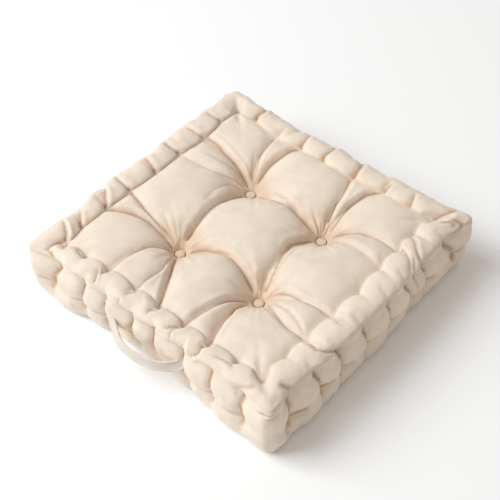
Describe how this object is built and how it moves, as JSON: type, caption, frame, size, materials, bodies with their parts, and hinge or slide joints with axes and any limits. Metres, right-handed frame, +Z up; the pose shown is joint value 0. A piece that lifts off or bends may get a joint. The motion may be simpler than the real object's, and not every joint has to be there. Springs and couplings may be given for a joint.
{
  "type": "square floor pillow",
  "caption": "Square filled cloth floor pillow, tufted with covered buttons, with a stitched roll round its edges and a cloth carrying strap on one side.",
  "frame": {"origin": "on the floor under the middle of the cushion, on the flat of its underside", "axes": "+Z up through the cushion's thickness, -Y towards the side that carries the strap, +X to the right when facing that side from the front"},
  "size_m": [0.4627, 0.479, 0.1023],
  "materials": {
    "cover": "smooth cream cotton, matt with a faint sheen",
    "strap": "folded and edge-stitched cream cotton band",
    "buttons": "cream cotton stretched over button shells"
  },
  "bodies": {
    "root": {"cushion": "cover", "strap": "strap", "button_top_front_left": "buttons", "button_under_front_left": "buttons", "button_top_front_right": "buttons", "button_under_front_right": "buttons", "button_top_back_right": "buttons", "button_under_back_right": "buttons", "button_top_back_left": "buttons", "button_under_back_left": "buttons"}
  },
  "joints": []
}
